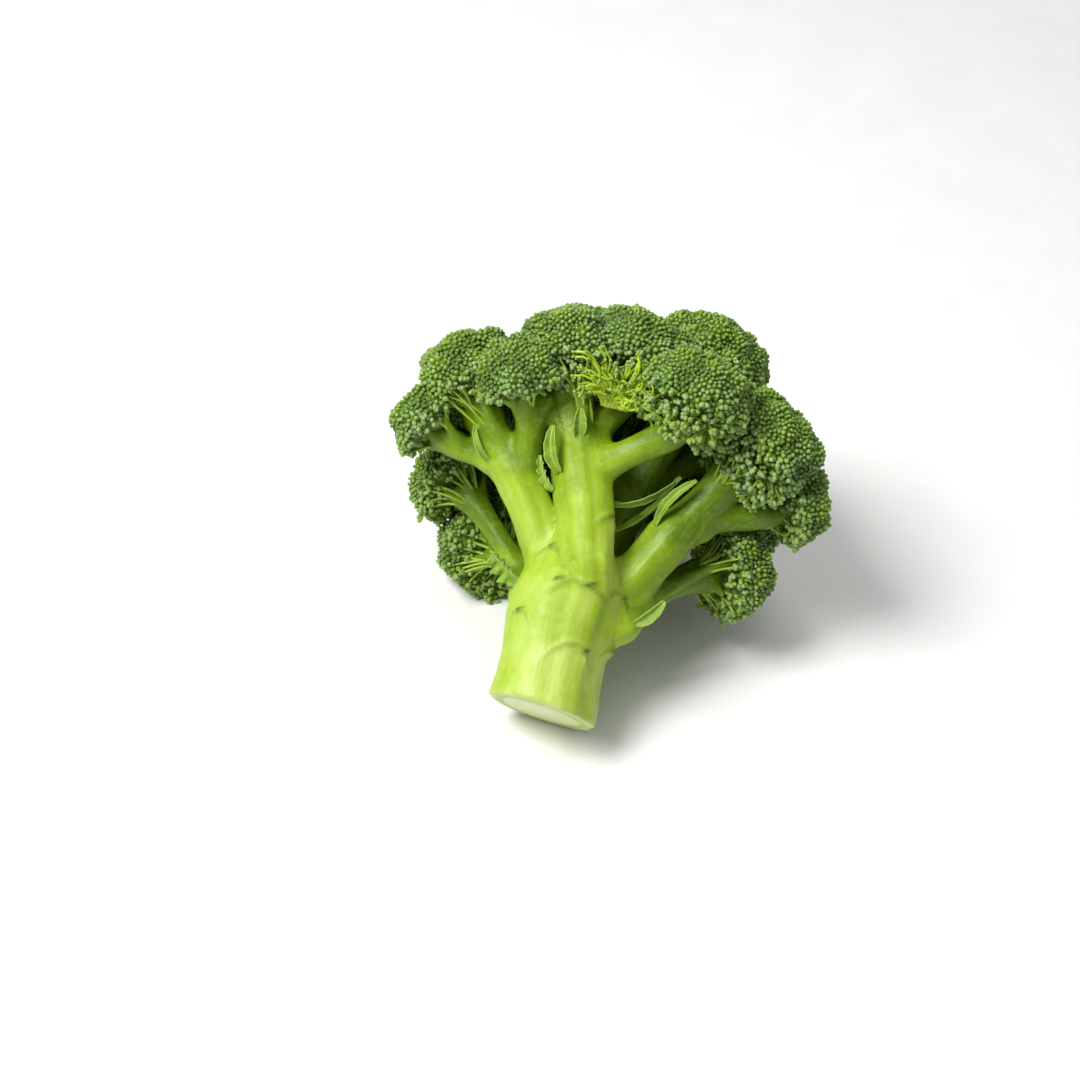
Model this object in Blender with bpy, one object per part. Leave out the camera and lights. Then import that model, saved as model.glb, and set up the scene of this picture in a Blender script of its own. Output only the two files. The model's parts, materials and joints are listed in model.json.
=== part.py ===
"""A cut broccoli head, lying on its side as it comes to rest on a table. Units are metres.

The head is built upright in its own frame: the middle of the stalk's cut end is the origin, the stalk grows
along +Z, +X is the head's right and +Y its back. A thick stalk forks into branches, each branch ends in a
floret, which is a dome of flower buds, and small leaves stand on the branches. The whole head is then laid
down on the three points that carry it: the rim of the cut and two florets at the back.
"""

import math
from dataclasses import dataclass

import bmesh
import bpy
import numpy as np
from mathutils import Matrix, Vector, noise
from mathutils.bvhtree import BVHTree

MM = 0.001

# Overall sizes.
STALK_LENGTH = 45 * MM  # from the cut end to the level where the branches spread
STALK_RADIUS = 22 * MM  # at the cut end
CROWN_RADIUS = 85 * MM  # from the head's axis to the middle of an outermost floret's reach
CROWN_HEIGHT = 131 * MM  # from the end of STALK_LENGTH to the top of the highest floret's reach
CROWN_SHAPE = 1.54  # CROWN_HEIGHT in crown radii when the florets are round

# Sizes of the pieces.
BRANCH_RADIUS = 10 * MM  # of the thickest branch, where it leaves the stalk
LEAF_WIDTH = 4.4 * MM  # of the leaves' common size, halfway along
LEAF_LENGTH = 30 * MM  # of the leaves' common size
LEAF_THICKNESS = 1.2 * MM
CUT_SLANT = math.radians(5)  # of the knife's cut against the stalk's axis
GAP = 0.35 * MM  # clearance between any two pieces

# How the branches and the leaves grow.
ROOT = 0.42  # how far from the stalk's axis its branches start, in stalk radii
EARLY_BOW = 0.48  # how long a branch keeps the way it left, as a share of its reach
LATE_BOW = 0.3  # the same for the way it comes in under its floret
BASE = 0.86  # a branch's radius at its start, as a share of its greatest
FLARE = 1.15  # its radius where it spreads under the floret, as a share of its tip's
SINK = 0.9  # where a leaf starts, in radii of its parent
LEAF_TURN = 0.4  # how far along a leaf bends

# How the shapes are drawn.
STALK_SIDES = 20
BRANCH_SIDES = 10
BRANCH_RINGS = 9
LEAF_SIDES = 8
LEAF_RINGS = 8
FLORET_SUBDIVISIONS = 3
FOCUS = (0, 0, 0.2)  # the place in crown units that the florets face away from
UPWARD = 0.3  # how far they turn upwards from that, as a slope
UNDERSIDE = 0.55  # a floret's flat underside below its centre, as a share of its radius
CREASE = 9.0  # how sharply a floret's dome turns down into the crease beside its neighbour
LUMP = 0.07  # height of the lumps on a floret, as a share of its radius
LUMPS_PER_RADIUS = 2.1
NEIGHBOURS = 1.15  # florets press on each other when their centres are nearer than this many times their radii

# The stalk's outline: height in stalk lengths and radius in stalk radii, from the cut end up.
STALK_OUTLINE = ((0.0, 1.0), (0.2, 0.94), (0.5, 0.92), (0.75, 0.98), (0.95, 1.03), (1.15, 0.9), (1.35, 0.58))

# A leaf's outline: share of its length and width, from its foot to its tip.
LEAF_OUTLINE = ((0, 0.55), (0.15, 0.5), (0.45, 1.0), (0.8, 0.75), (1, 0.16))

STALK = "stalk"
UP = Vector((0, 0, 1))
UNDERNEATH = Vector((0.12, 0.88, -0.45)).normalized()  # the side of the head that it lies on, roughly


@dataclass
class Floret:
    """A floret and the branch that carries it. Places are in crown units: 1 is CROWN_RADIUS across, and upwards
    1 is CROWN_HEIGHT / CROWN_SHAPE, counted from the end of STALK_LENGTH."""

    name: str
    place: tuple
    size: float  # radius in crown units
    parent: str  # what its branch leaves
    at: float  # where it leaves: the height in stalk lengths, or the share of the way along a branch
    bearing: float  # on the stalk, the side that it leaves from, in degrees from the head's right
    lean: float  # how far it leans out where it leaves, as a slope
    thick: float  # the branch's radius where it is thickest, in BRANCH_RADIUS
    tip: float  # the same at its end


@dataclass
class Leaf:
    """A narrow leaf. It leaves its parent along `out` and bends towards `then`."""

    name: str
    parent: str
    share: float  # of the way along the parent
    out: tuple
    then: tuple
    length: float  # in LEAF_LENGTH
    width: float  # in LEAF_WIDTH


@dataclass
class Stem:
    """A tube: the points of its middle line and its radius at each."""

    line: np.ndarray
    radii: np.ndarray

    def place(self, share):
        """The middle of the tube at a share of the way along it, and the direction it runs in there."""
        at = share * (len(self.line) - 1)
        low = min(int(at), len(self.line) - 2)
        step = self.line[low + 1] - self.line[low]
        return self.line[low] + step * (at - low), unit(step)

    def radius(self, share):
        return np.interp(share * (len(self.line) - 1), range(len(self.line)), self.radii)


FLORETS = (
    Floret("front_left_top", (-0.25, -0.19, 1.11), 0.25, STALK, 0.8, -70, 0.3, 1.22, 0.7),
    Floret("left_upper", (-0.665, -0.08, 0.91), 0.25, STALK, 0.85, 186, 0.05, 0.95, 0.6),
    Floret("right_upper", (0.72, -0.1, 0.9), 0.28, STALK, 0.8, 2, 0.6, 1.0, 0.6),
    Floret("crown_top", (0.39, 0.12, 1.29), 0.285, STALK, 1.0, 60, 0.35, 0.85, 0.6),
    Floret("back_middle_left", (-0.26, 0.7, 0.68), 0.285, STALK, 0.88, 106, 0.35, 0.9, 0.55),
    Floret("back_right", (0.7, 0.46, 0.78), 0.275, STALK, 0.84, 42, 0.35, 0.85, 0.55),
    Floret("right_lower", (0.71, 0.3, 0.41), 0.23, STALK, 0.6, -10, 0.9, 0.86, 0.5),
    Floret("back_left_low", (-0.41, 0.57, 0.32), 0.24, STALK, 0.62, 146, 0.5, 0.74, 0.5),
    Floret("back_left_upper", (-0.58, 0.37, 0.9), 0.265, STALK, 1.0, 150, 0.3, 0.75, 0.5),
    Floret("front_right_top", (0.05, -0.2, 1.17), 0.245, "front_left_top", 0.56, 0, 0.5, 0.8, 0.55),
    Floret("front_right", (0.35, -0.38, 1.0), 0.24, "front_left_top", 0.46, 0, 0.6, 0.78, 0.55),
    Floret("left_front", (-0.44, -0.24, 0.94), 0.235, "left_upper", 0.45, 0, 0.3, 0.62, 0.46),
    Floret("left_outer", (-0.8, -0.03, 0.71), 0.19, "left_upper", 0.6, 0, 0.8, 0.55, 0.42),
    Floret("right_outer", (0.89, 0.03, 0.74), 0.21, "right_upper", 0.5, 0, 0.5, 0.72, 0.48),
    Floret("back_middle_right", (0.28, 0.74, 0.72), 0.285, "back_middle_left", 0.36, 0, 0.5, 0.76, 0.52),
    Floret("back_left_outer", (-0.65, 0.4, 0.54), 0.21, "back_left_low", 0.4, 0, 0.5, 0.55, 0.42),
    Floret("top_left", (-0.2, 0.22, 1.21), 0.285, "crown_top", 0.36, 0, 0.5, 0.66, 0.5),
    Floret("top_back", (0.09, 0.52, 1.09), 0.285, "crown_top", 0.3, 0, 0.5, 0.64, 0.5),
    Floret("top_right", (0.5, 0.36, 1.06), 0.26, "crown_top", 0.4, 0, 0.5, 0.6, 0.48),
)

LEAVES = (
    Leaf("leaf_left_curl", "left_upper", 0.72, (-0.9, -0.35, 0.1), (-0.3, -0.1, 0.95), 0.7, 0.45),
    Leaf("leaf_fork_long", "front_left_top", 0.57, (-0.8, -0.5, 0.25), (0.0, -0.1, 1.0), 0.8, 0.95),
    Leaf("leaf_fork_short", "front_left_top", 0.5, (-0.95, -0.1, 0.3), (-0.25, -0.2, 0.95), 0.62, 0.65),
    Leaf("leaf_front", "front_left_top", 0.72, (-0.05, -1.0, 0.4), (-0.2, -0.12, 1.0), 0.5, 0.95),
    Leaf("leaf_right_long", "front_left_top", 0.44, (0.95, 0.25, 0.1), (0.6, -0.15, 0.8), 1.15, 0.5),
    Leaf("leaf_right_back", "front_left_top", 0.33, (0.8, 0.6, 0.4), (0.45, 0.1, 0.9), 1.35, 0.55),
    Leaf("leaf_right_bow", "right_upper", 0.5, (-0.1, -0.6, 0.9), (0.75, -0.2, 0.65), 0.95, 0.7),
    Leaf("leaf_left_frill", STALK, 0.78, (-0.85, 0.2, 0.45), (-0.75, 0.15, 0.65), 0.7, 1.8),
    Leaf("leaf_right_low", "right_lower", 0.25, (0.87, -0.5, 0.2), (0.43, -0.25, 1.0), 0.6, 0.85),
    Leaf("leaf_back", STALK, 0.65, (0.3, 0.95, 0.2), (0.1, 0.35, 1.0), 0.7, 0.9),
    Leaf("leaf_back_right", "back_right", 0.35, (0.6, 0.6, -0.2), (0.5, 0.5, 0.9), 0.7, 0.8),
)

MATERIALS = {
    "stem": ((0.42, 0.58, 0.13), 0.42),
    "buds": ((0.10, 0.19, 0.05), 0.6),
    "leaf": ((0.20, 0.36, 0.06), 0.5),
}


def clear_scene():
    for obj in list(bpy.data.objects):
        bpy.data.objects.remove(obj)


def material(name):
    """The named Principled material, made once."""
    found = bpy.data.materials.get(name)
    if found:
        return found
    colour, roughness = MATERIALS[name]
    made = bpy.data.materials.new(name)
    made.use_nodes = True
    shader = made.node_tree.nodes["Principled BSDF"]
    shader.inputs["Base Color"].default_value = (*colour, 1)
    shader.inputs["Roughness"].default_value = roughness
    shader.inputs["Metallic"].default_value = 0
    made.diffuse_color = (*colour, 1)
    return made


def add_piece(name, mesh, material_name, head):
    """A named object on the head, smooth shaded except along its sharp edges."""
    obj = bpy.data.objects.new(name, mesh)
    bpy.context.scene.collection.objects.link(obj)
    mesh.materials.append(material(material_name))
    mesh.shade_smooth()
    mesh.set_sharp_from_angle(angle=math.radians(50))
    obj.parent = head
    return obj


def unit(vector):
    return vector / np.linalg.norm(vector)


def curve(start, start_pull, end_pull, end, count):
    """count points along a cubic Bezier curve."""
    t = np.linspace(0, 1, count)[:, None]
    return (
        start * (1 - t) ** 3
        + 3 * start_pull * t * (1 - t) ** 2
        + 3 * end_pull * t**2 * (1 - t)
        + end * t**3
    )


def tangents(line):
    steps = np.gradient(line, axis=0, edge_order=2)
    return steps / np.linalg.norm(steps, axis=1)[:, None]


def side_frames(line, first_side):
    """For each point of a line, two directions square to it, turned as little as possible from point to point."""
    along = tangents(line)
    sides = []
    side = first_side
    for direction in along:
        side = unit(side - direction * (side @ direction))
        sides.append(side)
    sides = np.array(sides)
    return sides, np.cross(along, sides)


def tube_mesh(name, line, widths, thicknesses, sides, first_side):
    """A closed tube of oval section: half-widths along first_side, half-thicknesses square to it."""
    across, over = side_frames(line, first_side)
    angles = np.arange(sides) * 2 * math.pi / sides
    rings = (
        line[:, None]
        + across[:, None] * (widths[:, None] * np.cos(angles))[..., None]
        + over[:, None] * (thicknesses[:, None] * np.sin(angles))[..., None]
    )
    return skinned(name, rings)


def skinned(name, rings):
    """A closed mesh through rings of points, with a flat cap at each end."""
    count, sides = rings.shape[:2]
    index = np.arange(count * sides).reshape(count, sides)
    faces = [tuple(index[0][::-1]), tuple(index[-1])]
    for low, high in zip(index[:-1], index[1:]):
        for k in range(sides):
            after = (k + 1) % sides
            faces.append((low[k], low[after], high[after], high[k]))
    mesh = bpy.data.meshes.new(name)
    mesh.from_pydata(rings.reshape(-1, 3).tolist(), [], [tuple(map(int, face)) for face in faces])
    mesh.update()
    return mesh


def stalk_stem():
    outline = np.array(STALK_OUTLINE)
    line = np.zeros((len(outline), 3))
    line[:, 2] = outline[:, 0] * STALK_LENGTH
    return Stem(line, outline[:, 1] * STALK_RADIUS)


def stalk_mesh(name, stem, more=0.0):
    """The stalk, with the soft ridges that run up into its branches and the slanting cut. more makes it fatter."""
    angles = np.arange(STALK_SIDES) * 2 * math.pi / STALK_SIDES
    ridges = 1 + 0.025 * np.cos(3 * angles + 0.4) + 0.018 * np.cos(5 * angles + 1.1)
    rings = np.zeros((len(stem.line), STALK_SIDES, 3))
    reach = stem.radii[:, None] * ridges + more
    rings[..., 0] = reach * np.cos(angles)
    rings[..., 1] = reach * np.sin(angles)
    rings[..., 2] = stem.line[:, 2][:, None]
    rings[0, :, 2] -= rings[0, :, 0] * math.tan(CUT_SLANT) + more
    rings[-1, :, 2] += more
    return skinned(name, rings)


def crown_scale():
    """Metres per crown unit, for each axis."""
    return np.array((CROWN_RADIUS, CROWN_RADIUS, CROWN_HEIGHT / CROWN_SHAPE))


def to_head(place):
    """A point in crown units as a point of the head, in metres."""
    return np.array(place) * crown_scale() + (0, 0, STALK_LENGTH)


def growth(floret):
    """The way a floret faces, in crown units: away from FOCUS, turned upwards."""
    return unit(unit(np.array(floret.place) - FOCUS) + (0, 0, UPWARD))


def branch_stem(floret, stems):
    """The tube of a floret's branch, from inside its parent to just under the floret."""
    scale = crown_scale()
    facing = growth(floret)
    under = np.array(floret.place) - facing * floret.size * UNDERSIDE
    into = unit(facing / scale)
    end = to_head(under) - into * GAP
    parent = stems[floret.parent]
    if floret.parent == STALK:
        bearing = math.radians(floret.bearing)
        outwards = np.array((math.cos(bearing), math.sin(bearing), 0))
        start = outwards * STALK_RADIUS * ROOT + (0, 0, floret.at * STALK_LENGTH)
        leaving = unit(outwards * floret.lean + (0, 0, 1))
    else:
        start, along = parent.place(floret.at)
        leaving = unit(along + unit(end - start) * floret.lean)
    reach = np.linalg.norm(end - start)
    line = curve(
        start, start + leaving * reach * EARLY_BOW, end - into * reach * LATE_BOW, end, BRANCH_RINGS
    )
    last_fork = max((f.at for f in FLORETS if f.parent == floret.name), default=0.2)
    radii = np.interp(
        np.linspace(0, 1, BRANCH_RINGS),
        (0, last_fork, last_fork + 0.2, 0.85, 1),
        (floret.thick * BASE, floret.thick, floret.tip, floret.tip, floret.tip * FLARE),
    )
    return Stem(line, radii * BRANCH_RADIUS)


def leaf_stem(leaf, stems):
    """A leaf's middle line, its half-widths and the direction across its blade."""
    parent = stems[leaf.parent]
    middle, along = parent.place(leaf.share)
    out = np.array(leaf.out)
    outwards = unit(out - along * (out @ along))
    start = middle + outwards * parent.radius(leaf.share) * SINK
    length = leaf.length * LEAF_LENGTH
    turn = start + unit(out) * length * LEAF_TURN
    end = turn + unit(np.array(leaf.then)) * length * (1 - LEAF_TURN)
    line = curve(start, (start + 2 * turn) / 3, (end + 2 * turn) / 3, end, LEAF_RINGS)
    blade = np.interp(np.linspace(0, 1, LEAF_RINGS), *zip(*LEAF_OUTLINE))
    across = unit(np.cross(along, outwards))
    return line, blade * leaf.width * LEAF_WIDTH / 2, across


def floret_mesh(floret, index):
    """The dome of one floret: a lumpy ball, pressed in where a neighbour's dome begins and flat underneath.

    Worked out in crown units and then scaled. Along each direction it reaches as far as a smooth minimum of
    the ball, the planes halfway to its neighbours and the plane of its underside allows."""
    scale = crown_scale()
    half_gap = GAP / 2 / scale.min()
    centre = np.array(floret.place)
    shape = bmesh.new()
    bmesh.ops.create_icosphere(shape, subdivisions=FLORET_SUBDIVISIONS, radius=1.0)
    directions = np.array([vert.co.normalized() for vert in shape.verts])
    lumps = [
        noise.noise(Vector(direction) * LUMPS_PER_RADIUS + Vector((7.3 * index, 0, 0)))
        for direction in directions
    ]
    reach = floret.size * (1 + LUMP * np.array(lumps))
    nearness = reach**-CREASE
    planes = [(-growth(floret), floret.size * UNDERSIDE)]
    for other in FLORETS:
        away = np.array(other.place) - centre
        distance = np.linalg.norm(away)
        if other is floret or distance > NEIGHBOURS * (floret.size + other.size):
            continue
        border = (distance**2 + floret.size**2 - other.size**2) / (2 * distance)
        planes.append((away / distance, border - half_gap))
    for normal, offset in planes:
        towards = np.clip(directions @ normal, 1e-6, None)
        nearness += (offset / towards) ** -CREASE
    points = (centre + directions * (nearness ** (-1 / CREASE))[:, None]) * scale
    points[:, 2] += STALK_LENGTH
    for vert, point in zip(shape.verts, points):
        vert.co = point
    mesh = bpy.data.meshes.new(floret.name)
    shape.to_mesh(mesh)
    shape.free()
    return mesh


def add_cutter(name, mesh, head):
    """The space that a stem and its clearance fill. It is a tool, so it isn't shown."""
    cutter = bpy.data.objects.new(name, mesh)
    bpy.context.scene.collection.objects.link(cutter)
    cutter.parent = head
    cutter.hide_render = True
    cutter.display_type = "WIRE"
    return cutter


def comes_near(mesh, stem):
    """True if a stem reaches into a mesh or within its clearance of it."""
    tree = BVHTree.FromPolygons([v.co for v in mesh.vertices], [p.vertices for p in mesh.polygons])
    for share in np.linspace(0, 1, 6 * len(stem.line)):
        point = Vector(stem.place(share)[0])
        radius = stem.radius(share)
        nearest, normal, _, distance = tree.find_nearest(point)
        if distance < radius + 2 * GAP or (point - nearest).dot(normal) < 0:
            return True
    return False


def cut_clear(obj, stems, cutters):
    """Cuts away what an object shares with the stems that it comes near, their clearance included."""
    for name, stem in stems.items():
        if comes_near(obj.data, stem):
            cut = obj.modifiers.new("clear_of_" + name, "BOOLEAN")
            cut.operation = "DIFFERENCE"
            cut.solver = "MANIFOLD"  # EXACT can lose a whole branch where many tubes start side by side
            cut.object = cutters[name]


def build_stems(head):
    """The stalk and the branches, each cut clear of the ones before it. Returns the stems and their cutters."""
    stems = {STALK: stalk_stem()}
    cutters = {STALK: add_cutter("clearance_" + STALK, stalk_mesh("clearance", stems[STALK], GAP), head)}
    add_piece(STALK, stalk_mesh(STALK, stems[STALK]), "stem", head)
    for floret in FLORETS:
        stem = branch_stem(floret, stems)
        name = "branch_" + floret.name
        side = np.array((0.0, 1.0, 0.0))
        mesh = tube_mesh(name, stem.line, stem.radii, stem.radii, BRANCH_SIDES, side)
        obj = add_piece(name, mesh, "stem", head)
        cut_clear(obj, stems, cutters)
        wider = stem.radii + GAP
        stems[floret.name] = stem
        room = tube_mesh("clearance", stem.line, wider, wider, BRANCH_SIDES, side)
        cutters[floret.name] = add_cutter("clearance_" + floret.name, room, head)
    return stems, cutters


def build_florets(head, stems, cutters):
    for index, floret in enumerate(FLORETS):
        obj = add_piece("floret_" + floret.name, floret_mesh(floret, index), "buds", head)
        others = {name: stem for name, stem in stems.items() if name != floret.name}
        cut_clear(obj, others, cutters)


def build_leaves(head, stems, cutters):
    for leaf in LEAVES:
        line, widths, across = leaf_stem(leaf, stems)
        thicknesses = np.full(len(line), LEAF_THICKNESS / 2)
        thicknesses[-1] /= 2
        mesh = tube_mesh(leaf.name, line, widths, thicknesses, LEAF_SIDES, across)
        obj = add_piece(leaf.name, mesh, "leaf", head)
        cut_clear(obj, stems, cutters)


def shown_triangles():
    """The corners of every shown triangle, cut and in place, as an array of triangles."""
    bpy.context.view_layer.update()
    graph = bpy.context.evaluated_depsgraph_get()
    found = []
    for obj in bpy.context.scene.objects:
        if obj.type != "MESH" or obj.hide_render:
            continue
        mesh = obj.evaluated_get(graph).to_mesh()
        mesh.calc_loop_triangles()
        corners = np.array([v.co for v in mesh.vertices])
        found.append(corners[[t.vertices[:] for t in mesh.loop_triangles]])
    return np.concatenate(found)


def centre_of_mass(triangles):
    volumes = np.einsum("ij,ij->i", triangles[:, 0], np.cross(triangles[:, 1], triangles[:, 2])) / 6
    return (triangles.sum(axis=1) / 4 * volumes[:, None]).sum(axis=0) / volumes.sum()


def resting_side(points, weight):
    """The outward normal of the flat side of the points' hull that carries the weight and is nearest UNDERNEATH."""
    hull = bmesh.new()
    for point in np.unique(np.round(points, 6), axis=0):
        hull.verts.new(point)
    bmesh.ops.convex_hull(hull, input=hull.verts)
    bmesh.ops.recalc_face_normals(hull, faces=hull.faces)
    best = None
    for face in hull.faces:
        normal = face.normal
        foot = Vector(weight) + normal * (face.verts[0].co - Vector(weight)).dot(normal)
        corners = [vert.co for vert in face.verts]
        after = corners[1:] + corners[:1]
        carried = all((b - a).cross(foot - a).dot(normal) > 0 for a, b in zip(corners, after))
        if carried and (best is None or normal.dot(UNDERNEATH) > best.dot(UNDERNEATH)):
            best = normal.copy()
    hull.free()
    return best


def lay_down(head):
    """Turns the head onto its resting side, with the stalk's axis over +Y, and centres it on the origin."""
    triangles = shown_triangles()
    points = triangles.reshape(-1, 3)
    up = -resting_side(points, centre_of_mass(triangles))
    forwards = (UP - up * UP.dot(up)).normalized()
    turn = Matrix((forwards.cross(up), forwards, up))
    laid = points @ np.array(turn).T
    low = laid.min(axis=0)
    high = laid.max(axis=0)
    middle = (low + high) / 2
    head.matrix_world = Matrix.Translation((-middle[0], -middle[1], -low[2])) @ turn.to_4x4()


def main():
    clear_scene()
    head = bpy.data.objects.new("head", None)
    bpy.context.scene.collection.objects.link(head)
    stems, cutters = build_stems(head)
    build_florets(head, stems, cutters)
    build_leaves(head, stems, cutters)
    lay_down(head)


main()
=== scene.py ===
"""The looks of a cut broccoli head that lies on its side: skin, buds, bud stems, leaves and leaf scars.

The stalk and its branches become one smooth skin, as they grow. Each floret becomes a dome of lumps set with
flower buds, hollow underneath, where a fan of bud stems carries it. Lengths are in metres.
"""

import json
import math

import bmesh
import bpy
import numpy as np
from mathutils import Matrix, Vector
from mathutils.bvhtree import BVHTree

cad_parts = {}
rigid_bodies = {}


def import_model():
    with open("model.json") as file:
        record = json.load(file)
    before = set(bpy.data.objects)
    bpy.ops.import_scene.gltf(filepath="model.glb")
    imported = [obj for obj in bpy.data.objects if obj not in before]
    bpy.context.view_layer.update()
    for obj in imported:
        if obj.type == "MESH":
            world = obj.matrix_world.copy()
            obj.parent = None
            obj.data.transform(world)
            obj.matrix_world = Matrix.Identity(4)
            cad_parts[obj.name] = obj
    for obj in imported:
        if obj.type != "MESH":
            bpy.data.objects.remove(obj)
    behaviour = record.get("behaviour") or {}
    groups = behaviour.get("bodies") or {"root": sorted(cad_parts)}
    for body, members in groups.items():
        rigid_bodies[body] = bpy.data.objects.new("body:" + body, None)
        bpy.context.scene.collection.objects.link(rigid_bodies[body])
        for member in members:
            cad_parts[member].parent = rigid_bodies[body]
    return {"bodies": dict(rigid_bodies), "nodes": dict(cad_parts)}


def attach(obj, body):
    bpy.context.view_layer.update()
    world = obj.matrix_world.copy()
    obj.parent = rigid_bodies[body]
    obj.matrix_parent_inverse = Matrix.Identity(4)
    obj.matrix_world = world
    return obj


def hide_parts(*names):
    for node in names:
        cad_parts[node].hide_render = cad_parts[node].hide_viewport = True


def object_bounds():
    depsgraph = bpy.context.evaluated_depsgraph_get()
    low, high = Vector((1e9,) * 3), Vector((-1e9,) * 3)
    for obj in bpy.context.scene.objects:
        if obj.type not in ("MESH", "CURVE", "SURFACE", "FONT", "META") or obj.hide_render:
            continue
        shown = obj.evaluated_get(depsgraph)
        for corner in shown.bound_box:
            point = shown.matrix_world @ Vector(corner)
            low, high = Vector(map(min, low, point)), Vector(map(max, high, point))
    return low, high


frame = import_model()
for extra in set(bpy.data.objects) - set(frame["nodes"].values()) - set(frame["bodies"].values()):
    bpy.data.objects.remove(extra)
cad_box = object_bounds()

MM = 0.001
ROOT = "root"
FLORETS = sorted(name[len("floret_") :] for name in frame["nodes"] if name.startswith("floret_"))
LEAVES = sorted(name for name in frame["nodes"] if name.startswith("leaf_"))

# The skin of the stalk, the branches and the thick bud stems.
SKIN_STEP = 1.2 * MM  # distance between the skin's points
SKIN_ROOM = 4 * MM  # room round the stems in the grid that the skin is found on
REACH = 5 * MM  # a stem has no effect on the skin further off than this
CROTCH = 2.0 * MM  # softness of the crotch between two branches
FORK = 0.8 * MM  # softness where a bud stem leaves its branch
FACET_REACH = 10 * MM  # a stem thicker than this has no higher facets
FACETS = 0.06  # how far the long facets of a stem stand out, as a share of its radius
FIBRE_STRETCH = 0.12  # a fibre's width as a share of its length
CUT_ROUND = 0.5 * MM  # rounding at the edge of the cut
BRANCH_SLICES, STALK_SLICES = 15, 14
SLICE_INSET = 3 * MM  # how far in from its foot a stem's first slice is
TIP_DEPTH = 4 * MM  # how far a branch's line runs on into its floret
FOOT_STEPS = (7 * MM, 8 * MM)  # the two steps that lead a branch's line back into its parent
CUT_OVERRUN = 18 * MM  # how far the stalk's line runs on past the cut, which then cuts it flat
STEM_POINTS = 20
# The skin's tone, from 0 for pale to 1 for deep green: at a stem's foot, and how much deeper at its top.
STALK_TONE, STALK_DEEPER = 0.12, 0.1
BRANCH_TONE, BRANCH_DEEPER = 0.2, 0.55
FAN_TONE = 0.95
RIGHT_PAINTED_SHADE, BACK_PAINTED_SHADE = 0.3, 0.35  # painted shade: how much deeper the green is made to the right and at the back, where the stems lie in shade
FIRST_FORK = 6  # the point of a branch's line from which bud stems leave it

# Leaf scars: how far up the stalk from the cut, how far to the right, half their width, and the places of
# their leaf stubs.
SCARS = [
    (49.5 * MM, -1.5 * MM, 9 * MM, (-7 * MM, 4.5 * MM)),
    (26 * MM, 7 * MM, 8.5 * MM, (5 * MM,)),
    (63 * MM, -15.7 * MM, 5.5 * MM, (0,)),
    (52 * MM, 16.3 * MM, 7 * MM, (3.5 * MM,)),
    (34 * MM, -20 * MM, 5 * MM, (0,)),
    (31 * MM, 20 * MM, 5 * MM, (0,)),
    (78 * MM, 4 * MM, 4 * MM, (0,)),
]
SCAR_HEIGHT = 0.9 * MM
SCAR_EDGE = 0.95 * MM
STUB_HEIGHT = 1.3 * MM
STUB_WIDTH = 2.2 * MM

# The florets.
BUD_SPACING = 1.6 * MM
BUD_WIDTH = 1.8 * MM
BUD_SHARE = 0.94  # a bud's width at the middle of a floret, as a share of BUD_WIDTH
BUD_VARY = 0.2  # how much a bud's width varies, as a share of it
BUD_TILT = 0.35  # how far a bud leans at most, in radians
SCATTER_TINT_SEED = 7
RIM_GROWTH = 0.3  # how much wider the buds are at a floret's rim
SIDE_ROOM = 3.2 * MM  # how far the florets grow into each other at their sides
BUD_SINK = 0.8 * MM  # how far a floret's body lies inside its outline, to leave room for the buds
SWELLINGS = ((17 * MM, 1.9 * MM), (9 * MM, 2.2 * MM), (5 * MM, 1.1 * MM))  # spacing and height of its lumps
FLOOR_MARGIN = 0.8 * MM  # a floret's body stays this far off the surface that the head lies on
# How far round from its branch's direction a floret's parts lie: the cosines where each starts and is full.
UNDERSIDE = (-0.15, -0.62)
RIM = (0.35, -0.25)
BUDS_END = (-0.2, -0.34)
FRINGE_STARTS, FRINGE_ENDS = (-0.02, -0.16), (-0.4, -0.55)
HOLLOW = 0.3  # how deep the underside is hollowed, as a share of the floret's radius
BALL_LEVELS = 6  # how finely a floret's body is divided
FACET_SMOOTHING = 24  # rounds of averaging that take the facets off an outline

# Bud stems that fill a gap between two florets: where each one ends.
FILL_STEMS = {
    "left_front": np.array((-29.5, 9.0, 104.0)) * MM,
    "front_left_top": np.array((-30.5, 12.0, 101.0)) * MM,
}
FILL_RADIUS = (4.8 * MM, 3.4 * MM)
FAN_POINTS = 9
FAN_SHARE = 0.72  # a thick bud stem's radius at its foot, as a share of its branch's
FAN_MOST = 4.8 * MM  # its radius at most
FAN_TIP = 1.6 * MM  # its radius at its tip

# The thin bud stems at a floret's rim, and the loose buds that they carry.
STALKLET_SPACING = 3.6 * MM
STALKLET_RADIUS = (0.75 * MM, 0.5 * MM)
STALKLET_POINTS = 7
LOOSE_BUDS = 4
LOOSE_WIDTH = 2.1 * MM

# The florets whose bud stems hang lowest, below their rims.
LOW_RIMS = ("front_left_top", "front_right_top", "front_right", "right_upper")

# The curly tuft of bare bud stems at the front of the crown.
TUFT_FLORET = "front_right_top"
TUFT_STEMS = 75
TUFT_OFF = np.array((-4.0, -29.0, 7.0)) * MM  # from its floret's middle to its own
TUFT_HALF = (17 * MM, 10 * MM)  # half its width and half its height
TUFT_POINTS = 14
TUFT_RADIUS = (1.15 * MM, 0.45 * MM)
TUFT_BUDS = 3
TUFT_WIDTH = 1.25 * MM

# Leaves.
LEAF_SLICES = 12
LEAF_ACROSS = 9
LEAF_FULLNESS = 1.3  # a leaf's width, as a share of its CAD blade's
LEAF_THICKNESS = 0.55 * MM
LEAF_TO_FRONT = 0.8  # how far a leaf's face turns up, away from the surface that the head lies on
LEAF_RUFFLE = 0.05  # how far a leaf's edge waves, as a share of its width
FRILLED = {"leaf_left_frill": 0.24, "leaf_fork_short": 0.22}

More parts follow.
